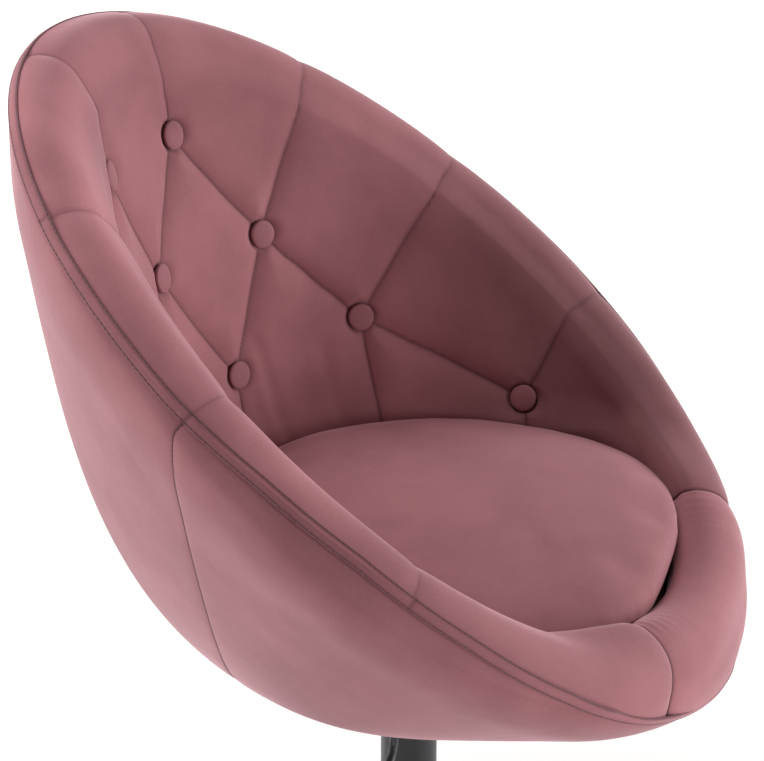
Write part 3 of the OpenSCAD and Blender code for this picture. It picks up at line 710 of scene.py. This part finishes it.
def cover_panel(name, back, columns, rows):
    """The front or back panel of the outer cover, turned in under the bucket."""
    even = np.linspace(0, 1, columns)
    even = even - 0.88 * np.sin(2 * math.pi * even) / (2 * math.pi)       # dense at the seams
    k = np.linspace(0, 1, rows)
    start, end = (COVER_SEAM, 360 - COVER_SEAM) if back else (-COVER_SEAM, COVER_SEAM)
    top = band_place(start + (end - start) * even)
    q = -100 + (np.maximum(top, -60)[:, None] + 100) * (1 - (1 - k) ** 1.25)[None, :]
    half = (180 - cover_seam(q) if back else cover_seam(q)) - 0.04
    angles = (180 if back else 0) + half * (2 * even[:, None] - 1)
    grid = skin_point(angles, q)
    for _ in range(10):
        mean = (grid[:, 2:] + grid[:, :-2]) / 2
        grid[:, 1:-1] += 0.5 * (mean - grid[:, 1:-1])
    foot = angles[:, 0]
    under = points(*((UNDER_R - 0.012) * np.array(turned(foot)) * [[1], [-1]]), 0)[:, None]
    facing = -normals_of(grid)
    band = skin_point(angles[:, -1], top)
    from_band = np.linalg.norm(grid - band[:, None], axis=-1)
    from_seam = np.radians(half * (1 - abs(2 * even[:, None] - 1))) * np.linalg.norm(grid[..., :2], axis=-1)
    dip = 2.2 * MM * np.exp(-from_band / (15 * MM)) + 0.9 * MM * np.exp(-from_seam / (4 * MM))
    swell = 1.6 * MM * np.exp(-((from_band - 0.055) / 0.03) ** 2)
    wave = 0.9 * MM * cloud(grid, 0.11, 3.0) * ease(from_band, 0.01, 0.05)
    outside = grid + (swell + wave - dip)[..., None] * facing
    outside[:, 0] = grid[:, 0]
    inside = (grid - COVER_T * facing)[:, ::-16]
    under_inside = under + [0, 0, COVER_T * 0.9]
    # Painted shade along the side seams.
    painted_fold_shade = np.pad(0.4 * np.exp(-(from_seam / (0.8 * MM)) ** 2), ((0, 0), (1, inside.shape[1] + 1)))
    rings = np.concatenate([under, outside, inside, under_inside], axis=1)
    piece = sweep(name, rings, closed=False, fold=painted_fold_shade)
    piece.data.materials.append(rose_velvet)
    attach(piece, "seat")
    return piece, outside[0, 1:], outside[-1, 1:]


cover_front, right_edge, left_edge = cover_panel("outer_cover_front_panel", False, 330, 96)
cover_back, _, _ = cover_panel("outer_cover_back_panel", True, 260, 96)
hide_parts("outer_cover_front")
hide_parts("outer_cover_back")

# %% [markdown]
# ## Stitched band
# A flat band of the same velvet runs all round under the rim and covers the seam between lining and cover. It
# is folded, laid flat and sewn along both edges, so its section is a low pillow with a groove at each row of
# stitches. At eight places two lengths of band are joined with a small cross seam.

# %% Build the band
BAND_HALF = 5.0 * MM
band_angles = np.linspace(0, 360, 900, endpoint=False)


def band_frame(t):
    """Middle of the band, the way up across it and the way out, at each angle."""
    w = band_place(t)
    middle = skin_point(t, w)
    up = unit(skin_point(t, w + 1.0) - skin_point(t, w - 1.0))
    along = unit(skin_point(t + 0.5, band_place(t + 0.5)) - skin_point(t - 0.5, band_place(t - 0.5)))
    return middle, up, unit(np.cross(along, up))


middle, band_up, band_out = band_frame(band_angles)
for _ in range(12):
    band_up = unit(band_up + 0.5 * (np.roll(band_up, 1, 0) + np.roll(band_up, -1, 0)))
    middle = (2 * middle + np.roll(middle, 1, 0) + np.roll(middle, -1, 0)) / 4
band_out = unit(np.cross(unit(np.roll(middle, -1, 0) - np.roll(middle, 1, 0)), band_up))
JOINS = [68.1, 98.0, 127.5, 164.0, 196.0, 232.5, 262.0, 291.9]
BAND_R = 0.3            # about how far the band is from the bucket's middle
join_turn = np.min([abs((band_angles - j + 180) % 360 - 180) for j in JOINS], axis=0)
join_gap = join_turn * math.radians(1) * BAND_R
join_dip = 0.7 * MM * np.exp(-(join_gap / (1.2 * MM)) ** 2)
section = [(-1.0, -1.2), (-1.0, -0.2), (-0.92, 0.30), (-0.78, 0.22), (-0.5, 0.65), (0.0, 0.85), (0.5, 0.65),
           (0.78, 0.22), (0.92, 0.30), (1.0, -0.2), (1.0, -1.2)]   # across the half width, and out in mm
band_rings = np.stack([middle + BAND_HALF * a * band_up
                       + ((h + 0.4) * MM - join_dip * (h > 0))[:, None] * band_out
                       for a, h in section], axis=1)
# Painted shade along the band's edges and stitch grooves, deepest at its upper edge under the rim, and at each
# cross seam.
painted_groove_shade = np.array([0.5, 0.5, 0.2, 0.45, 0.1, 0, 0.1, 0.5, 0.4, 0.7, 0.7])
band = sweep("stitched_band", band_rings, closed=True,
             fold=np.maximum(painted_groove_shade[None, :], 0.5 * np.exp(-(join_gap / (1.2 * MM)) ** 2)[:, None]))
band.data.materials.append(rose_velvet)
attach(band, "seat")
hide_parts("welt_band")

# %% [markdown]
# ## Stitches
# Sewing thread is bonded polyester, a shade darker than the velvet. Each visible stitch is a short length of
# thread 3.5 mm long that dips into the cloth at both ends. One stitch is modelled from a small sphere
# and copied along the seams, with few faces because there are hundreds.

# %% Thread and one stitch
thread, tree, shader, place = finish_of("polyester_thread", "#552b33", 0.6, Sheen_Weight=0.2)
twist = noise_over(tree, place, 1800.0, 1.0)
lead(tree, shader, Normal=bumps(tree, twist, 0.4, 0.1))

bpy.ops.mesh.primitive_uv_sphere_add(segments=6, ring_count=5, radius=1)
stitch = bpy.context.object
only(stitch)
bpy.ops.object.mode_set(mode="EDIT")
bpy.ops.mesh.select_all(action="SELECT")
bpy.ops.transform.rotate(value=math.pi / 2, orient_axis="Y", center_override=(0, 0, 0))
bpy.ops.transform.resize(value=(1.75 * MM, 0.42 * MM, 0.34 * MM), center_override=(0, 0, 0))
bpy.ops.object.mode_set(mode="OBJECT")


def copies(name, model, places):
    """One mesh of many copies of a small model, each at its own 4x4 place; the model is then deleted."""
    count = len(model.data.vertices)
    corners = np.array([v.co for v in model.data.vertices])
    faces = [tuple(p.vertices) for p in model.data.polygons]
    mesh = bpy.data.meshes.new(name)
    vertices = np.concatenate([corners @ m[:3, :3].T + m[:3, 3] for m in places])
    mesh.from_pydata(vertices.tolist(), [], [tuple(i * count + v for v in face)
                                             for i in range(len(places)) for face in faces])
    piece = bpy.data.objects.new(name, mesh)
    scene.collection.objects.link(piece)
    bpy.data.objects.remove(model)
    only(piece)
    bpy.ops.object.shade_smooth()
    print(name, "copies", len(places), "faces", len(mesh.polygons))
    return piece


def along_path(path, outward, pitch):
    """4x4 places every pitch along a path: x along it, z outwards."""
    steps = np.linalg.norm(np.diff(path, axis=0), axis=1)
    travel = np.concatenate([[0], np.cumsum(steps)])
    stops = np.arange(pitch / 2, travel[-1], pitch)
    spots = np.stack([np.interp(stops, travel, path[:, i]) for i in range(3)], 1)
    ahead = np.stack([np.interp(stops + pitch / 4, travel, path[:, i]) for i in range(3)], 1)
    out = unit(np.stack([np.interp(stops, travel, outward[:, i]) for i in range(3)], 1))
    x = unit(ahead - spots)
    y = unit(np.cross(out, x))
    z = np.cross(x, y)
    made = np.zeros((len(stops), 4, 4))
    made[:, :3, 0], made[:, :3, 1], made[:, :3, 2] = x, y, z
    made[:, :3, 3] = spots + [0, 0, BOWL_Z]
    made[:, 3, 3] = 1
    return made


def ring_closed(path):
    return np.concatenate([path, path[:1]])


# %% Lay the stitches
rows_of_stitches = []
for across in (-0.79, 0.79):
    row = middle + BAND_HALF * across * band_up + 0.72 * MM * band_out
    rows_of_stitches.append(along_path(ring_closed(row), ring_closed(band_out), 4.6 * MM))
for edge in (right_edge, left_edge):
    out = unit(points(edge[:, 0], 0 * edge[:, 0], -0.4 * abs(edge[:, 0])))
    rows_of_stitches.append(along_path(edge[:-6] + 0.15 * MM * out[:-6], out[:-6], 4.6 * MM))
stitches = copies("seam_stitches", stitch, np.concatenate(rows_of_stitches))
stitches.data.materials.append(thread)
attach(stitches, "seat")

# %% [markdown]
# ## Covered buttons
# Each button is a domed metal disc, 25 mm across, with velvet stretched over it. A cylinder is inset and
# raised in steps into a low dome, and a subdivision surface rounds it as the stretched cloth does.

# %% One button
bpy.ops.mesh.primitive_cylinder_add(vertices=20, radius=BUTTON_R, depth=4.5 * MM, location=(0, 0, 2.7 * MM))
button = bpy.context.object
only(button)
bpy.ops.object.transform_apply(location=True)
bpy.ops.object.mode_set(mode="EDIT")
bpy.ops.mesh.select_mode(type="FACE")
bpy.ops.mesh.select_all(action="DESELECT")
bpy.ops.object.mode_set(mode="OBJECT")
for face in button.data.polygons:
    face.select = face.normal.z > 0.9
bpy.ops.object.mode_set(mode="EDIT")
for inset, lift in ((0.7, 0.55), (2.2, 0.75), (3.4, 0.45), (3.2, 0.1)):
    bpy.ops.mesh.inset(thickness=inset * MM, depth=0)
    bpy.ops.transform.translate(value=(0, 0, lift * MM))
bpy.ops.object.mode_set(mode="OBJECT")
rounding = button.modifiers.new("rounding", "SUBSURF")
rounding.levels = rounding.render_levels = 2
bpy.ops.object.modifier_apply(modifier=rounding.name)


def button_places():
    """4x4 places of the buttons, z out of the inside wall."""
    for t, s in BUTTONS:
        across = inner_point(t + 0.5, s) - inner_point(t - 0.5, s)
        up = inner_point(t, s + 0.01) - inner_point(t, s - 0.01)
        z = unit(np.cross(up, across))
        x = unit(across)
        made = np.eye(4)
        made[:3, 0], made[:3, 1], made[:3, 2] = x, np.cross(z, x), z
        made[:3, 3] = inner_point(t, s) + [0, 0, BOWL_Z]
        yield made


buttons = copies("covered_buttons", button, list(button_places()))
buttons.data.materials.append(button_velvet)
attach(buttons, "seat")
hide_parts("back_buttons")

# %% [markdown]
# ## Seat cushion
# The cushion is a thick round foam pad with a soft crown, covered in one smooth panel of velvet. It is
# modelled from a sphere whose rings are moved to the cushion's outlines, remeshed evenly, and then blown up
# by a cloth simulation with pressure inside, as stuffing does. Each point may move 3 mm at most, so the
# cushion keeps its size.

# %% Cushion outlines
EDGE_Z = 0.108
CUSHION_TOP = 0.131
COVERED_HALF, COVERED_FRONT = 0.207, 0.180      # a few millimetres more than the CAD's foam
outlines = [        # share of the cushion's size, and height
    (0.30, DECK_TOP + 0.0008), (0.62, DECK_TOP + 0.0008), (0.80, DECK_TOP + 0.001),
    (0.875, DECK_TOP + 0.006), (0.925, DECK_TOP + 0.017), (0.965, EDGE_Z - 0.016),
    (WIDEST, EDGE_Z - 0.006), (WIDEST, EDGE_Z + 0.001), (0.965, EDGE_Z + 0.008),
    (0.925, EDGE_Z + 0.0125), (0.86, EDGE_Z + 0.0155), (0.76, EDGE_Z + 0.018),
    (0.62, EDGE_Z + 0.0205), (0.45, EDGE_Z + 0.022), (0.25, CUSHION_TOP - 0.0008)]
ring_count = len(outlines) + 1
bpy.ops.mesh.primitive_uv_sphere_add(segments=96, ring_count=ring_count, radius=1)
cushion = bpy.context.object
cushion.name = cushion.data.name = "seat_cushion_pad"
ball = np.array([v.co for v in cushion.data.vertices])
level = np.rint((np.arccos(np.clip(-ball[:, 2], -1, 1)) / math.pi) * ring_count).astype(int)
turn = np.degrees(np.arctan2(ball[:, 0], -ball[:, 1]))
places = np.zeros_like(ball)
for i, (width, height) in enumerate(outlines, start=1):
    here = level == i
    flat = seat_outline(turn[here], COVERED_HALF * width,
                        COVERED_FRONT * (0.25 + 0.75 * min(1, width * 1.02)) * min(1, width + 0.04),
                        CUSHION_BACK * min(1, width + 0.04))
    places[here] = flat + [0, 0, height]
places[level == 0] = (0, SEAT_Y, outlines[0][1])
places[level == ring_count] = (0, SEAT_Y, CUSHION_TOP)
set_places(cushion, places + [0, 0, BOWL_Z])
only(cushion)
bpy.ops.object.mode_set(mode="EDIT")
bpy.ops.mesh.select_all(action="SELECT")
bpy.ops.mesh.normals_make_consistent(inside=False)
bpy.ops.object.mode_set(mode="OBJECT")


# %% Swell the cushion
def places_of(mesh):
    flat = np.zeros(len(mesh.vertices) * 3, np.float32)
    mesh.vertices.foreach_get("co", flat)
    return flat.reshape(-1, 3)


def puff_up(piece, voxel, pressure, cap, frames):
    """Remeshes a pad evenly and blows it up with cloth pressure, each point moving no more than cap."""
    only(piece)
    even = piece.modifiers.new("even", "REMESH")
    even.mode = "VOXEL"
    even.voxel_size = voxel
    bpy.ops.object.modifier_apply(modifier=even.name)
    before = places_of(piece.data)
    cloth = piece.modifiers.new("stuffing", "CLOTH")
    cloth.settings.use_pressure = True
    cloth.settings.uniform_pressure_force = pressure
    cloth.settings.effector_weights.gravity = 0
    cloth.settings.tension_stiffness = 25
    cloth.settings.bending_stiffness = 4
    cloth.point_cache.frame_end = frames
    for step in range(1, frames + 1):
        scene.frame_set(step)
    swollen = places_of(piece.evaluated_get(bpy.context.evaluated_depsgraph_get()).data)
    move = swollen - before
    length = np.linalg.norm(move, axis=1, keepdims=True)
    move = move * np.minimum(1, cap / np.maximum(length, 1e-9))
    piece.modifiers.remove(cloth)
    scene.frame_set(1)
    set_places(piece, before + move)
    print(piece.name, "swelled by up to", round(float(length.max()) * 1000, 1), "mm before its cap")
    settle = piece.modifiers.new("settle", "SMOOTH")
    settle.factor = 0.5
    settle.iterations = 30
    bpy.ops.object.modifier_apply(modifier=settle.name)
    finer = piece.modifiers.new("finer", "SUBSURF")
    finer.levels = finer.render_levels = 1
    bpy.ops.object.modifier_apply(modifier=finer.name)
    bpy.ops.object.shade_smooth()


puff_up(cushion, 5.0 * MM, 4, 3.0 * MM, 20)
rested = places_of(cushion.data)
rested[:, 2] = np.maximum(rested[:, 2], BOWL_Z + DECK_TOP + 0.5 * MM)
set_places(cushion, rested)
cushion.data.materials.append(rose_velvet)
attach(cushion, "seat")
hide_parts("seat_cushion")
print("cushion top", round(max(v.co.z for v in cushion.data.vertices), 4), "m")

# %% [markdown]
# ## Dust cover
# Underneath, a sheet of black non-woven cloth hides the raw edges. It is stapled round its edge and cut out
# round the seat mechanism. It sags very slightly between the staples and the cut-out.

# %% Build the dust cover
COLUMNS = 192
cover_angles = np.linspace(0, 360, COLUMNS, endpoint=False)
dust_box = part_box("dust_cover")
plate_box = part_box("mechanism_plate")
sin, cos = turned(cover_angles)
half_x, half_y = plate_box[1].x + 2 * MM, plate_box[1].y + 2 * MM
hole_r = np.minimum(half_x / np.maximum(abs(sin), 1e-6), half_y / np.maximum(abs(cos), 1e-6))
edge_r = dust_box[1].x
levels = []
for k in (0, 0.12, 0.3, 0.5, 0.7, 0.86, 0.95, 1.0):
    radius = hole_r + (edge_r - hole_r) * k
    sag = 0.8 * MM * math.sin(math.pi * k) * (0.75 + 0.25 * np.cos(np.radians(24 * cover_angles)))
    levels.append(points(radius * sin, -radius * cos, -0.5 * MM - sag))
sheet_under = np.stack(levels, 1)
sheet_over = sheet_under[:, ::-1] + [0, 0, 0.4 * MM]
dust_sheet = sweep("dust_cover_sheet", np.concatenate([sheet_under, sheet_over], axis=1), closed=True)

# %% Non-woven cloth
# Spun-bonded polypropylene: short matted fibres pressed in a grid of dots about 2 mm apart, dull black.
nonwoven, tree, shader, place = finish_of("spunbond_polypropylene", "#1c1c1e", 0.9, Sheen_Weight=0.15)
fibres = noise_over(tree, place, 900.0, 4.0, Roughness=0.7)
dots = add(tree, "TexVoronoi", {"feature": "F1"}, {"Vector": place, "Scale": 450.0, "Randomness": 0.1})
pressed = bumps(tree, dots.outputs["Distance"], 0.5, 0.3)
lead(tree, shader, Base_Color=blend(tree, fibres, "#121214", "#2e2e31"),
     Normal=bumps(tree, fibres, 0.4, 0.2, over=pressed))
dust_sheet.data.materials.append(nonwoven)
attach(dust_sheet, "seat")
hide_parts("dust_cover")

# %% [markdown]
# ## Metals
# The column, base and lever are steel tube and sheet under a satin black powder coat. Powder melts into a
# skin with a faint orange-peel ripple about 2 mm wide, and handling rubs it a little smoother. Inside, parts
# are phosphated, zinc-plated or ground steel, and each shows how it was made.

# %% Powder coat and phosphated steel
powder_coat, tree, shader, place = finish_of("satin_black_powder_coat", "#232226", 0.42, Coat_Weight=0.12,
                                             Coat_Roughness=0.35)
peel = noise_over(tree, place, 420.0, 2.0)
handled = noise_over(tree, place, 22.0, 4.0, Roughness=0.6)
lead(tree, shader, Roughness=ranged(tree, handled, 0.34, 0.50), Normal=bumps(tree, peel, 0.25, 0.12),
     Base_Color=blend(tree, handled, "#1e1d21", "#29282c"))

phosphate, tree, shader, place = finish_of("phosphated_steel", "#2c2c30", 0.55, Metallic=0.6)
crystals = add(tree, "TexVoronoi", inputs={"Vector": place, "Scale": 1400.0}).outputs["Distance"]
mottle = noise_over(tree, place, 60.0, 4.0)
lead(tree, shader, Base_Color=blend(tree, mottle, "#232327", "#39393e"),
     Normal=bumps(tree, crystals, 0.3, 0.08))


# %% Bright steel, cast iron and brass
# Ground and zinc-plated steel: fine lines from the wheel, 0.2 mm apart and drawn at 0.6 mm so that they show.
bright, tree, shader, place = finish_of("zinc_plated_steel", "#b4b5ba", 0.32, Metallic=1.0)
stretch = add(tree, "Mapping", inputs={"Vector": place, "Scale": (60.0, 60.0, 1600.0)}).outputs["Vector"]
lines_ground = noise_over(tree, stretch, 1.0, 3.0)
passivated = noise_over(tree, place, 90.0, 2.0)
lead(tree, shader, Roughness=ranged(tree, lines_ground, 0.22, 0.42, start=0, end=1),
     Base_Color=blend(tree, passivated, "#a9aab0", "#c4c2bb"), Normal=bumps(tree, lines_ground, 0.15, 0.05))

# Cast iron from a green sand mould: rough skin 0.5 mm deep, dark grey with a little rust in patches.
cast_iron, tree, shader, place = finish_of("sand_cast_iron", "#3c3b3b", 0.75, Metallic=0.7)
grit = noise_over(tree, place, 800.0, 4.0, Roughness=0.7)
rusty = ranged(tree, noise_over(tree, place, 30.0, 5.0), 0, 1, start=0.55, end=0.75)
lead(tree, shader, Base_Color=blend(tree, rusty, "#383737", "#4d3a30"), Normal=bumps(tree, grit, 0.7, 0.5))

# Turned brass: bright, with fine rings left by the tool and a slight brown tarnish.
brass, tree, shader, place = finish_of("turned_brass", "#c9a45c", 0.28, Metallic=1.0)
rings_cut = add(tree, "TexWave", {"wave_type": "BANDS", "bands_direction": "Z"},
                {"Vector": place, "Scale": 500.0, "Distortion": 0.4}).outputs["Fac"]
tarnish = noise_over(tree, place, 120.0, 3.0)
lead(tree, shader, Base_Color=blend(tree, tarnish, "#b58f4a", "#d3b06a"),
     Normal=bumps(tree, rings_cut, 0.2, 0.05))

# %% [markdown]
# ## Plastics, rubber and wood
# The grip and collar are moulded nylon with a fine spark-eroded texture; the shell is plain polypropylene;
# the floor ring and bumper are soft rubber with a dull bloom. The seat deck and boards are birch plywood,
# whose edges show thin layers with the grain crossed from one to the next.

# %% Plastics and rubber
nylon, tree, shader, place = finish_of("textured_nylon", "#1b1b1d", 0.48)
spark = noise_over(tree, place, 1500.0, 2.0)
worn = noise_over(tree, place, 45.0, 3.0)
lead(tree, shader, Roughness=ranged(tree, worn, 0.38, 0.56), Normal=bumps(tree, spark, 0.4, 0.1))

shell_plastic, tree, shader, place = finish_of("moulded_polypropylene", "#29292c", 0.5)
flow = noise_over(tree, place, 12.0, 3.0, Distortion=1.0)
lead(tree, shader, Base_Color=blend(tree, flow, "#242427", "#303034"), Normal=bumps(tree, flow, 0.2, 0.4))

rubber, tree, shader, place = finish_of("black_rubber", "#161617", 0.75)
bloom = noise_over(tree, place, 70.0, 5.0, Roughness=0.65)
pores = noise_over(tree, place, 1000.0, 2.0)
lead(tree, shader, Base_Color=blend(tree, bloom, "#111112", "#232325"),
     Normal=bumps(tree, pores, 0.3, 0.12))

# %% Birch plywood
# Pale and dark layers across Z, each pair about 2 mm thick; the grain runs along X, 1 to 3 mm wide.
PLY_PAIR = 1.9759 * MM
WAVE_LENGTH = math.pi / 10      # length of one wave of a wave texture whose scale is 1, in metres
plywood, tree, shader, place = finish_of("birch_plywood", "#c9a878", 0.6)
stretched = add(tree, "Mapping", inputs={"Vector": place, "Scale": (14.0, 420.0, 420.0)}).outputs["Vector"]
grain = noise_over(tree, stretched, 1.0, 5.0, Distortion=0.4)
layers = add(tree, "TexWave", {"wave_type": "BANDS", "bands_direction": "Z", "wave_profile": "SIN"},
             {"Vector": place, "Scale": WAVE_LENGTH / PLY_PAIR, "Distortion": 0.2}).outputs["Fac"]
dark = ranged(tree, layers, 0.0, 0.35, start=0.55, end=0.9)
lead(tree, shader, Base_Color=blend(tree, dark, blend(tree, grain, "#b8925f", "#dcc094"), "#8b6136"),
     Normal=bumps(tree, grain, 0.3, 0.2))

# %% [markdown]
# ## Finishes of the CAD parts
# Each hard part keeps its CAD shape and gets the finish of its own slot in the record.

# %% Give the CAD parts their finishes
finishes = {
    "black_coat": powder_coat, "black_steel": phosphate, "bright_steel": bright, "cast_iron": cast_iron,
    "rubber": rubber, "black_plastic": nylon, "shell_plastic": shell_plastic, "plywood": plywood,
    "brass": brass, "dust_cloth": nonwoven, "velvet": rose_velvet, "velvet_roll": rose_velvet,
    "velvet_button": button_velvet}
for part in frame["record"]["subparts"]:
    piece = frame["nodes"][part["node"]]
    for slot in piece.material_slots:
        slot.material = finishes[part["material_slot"]]
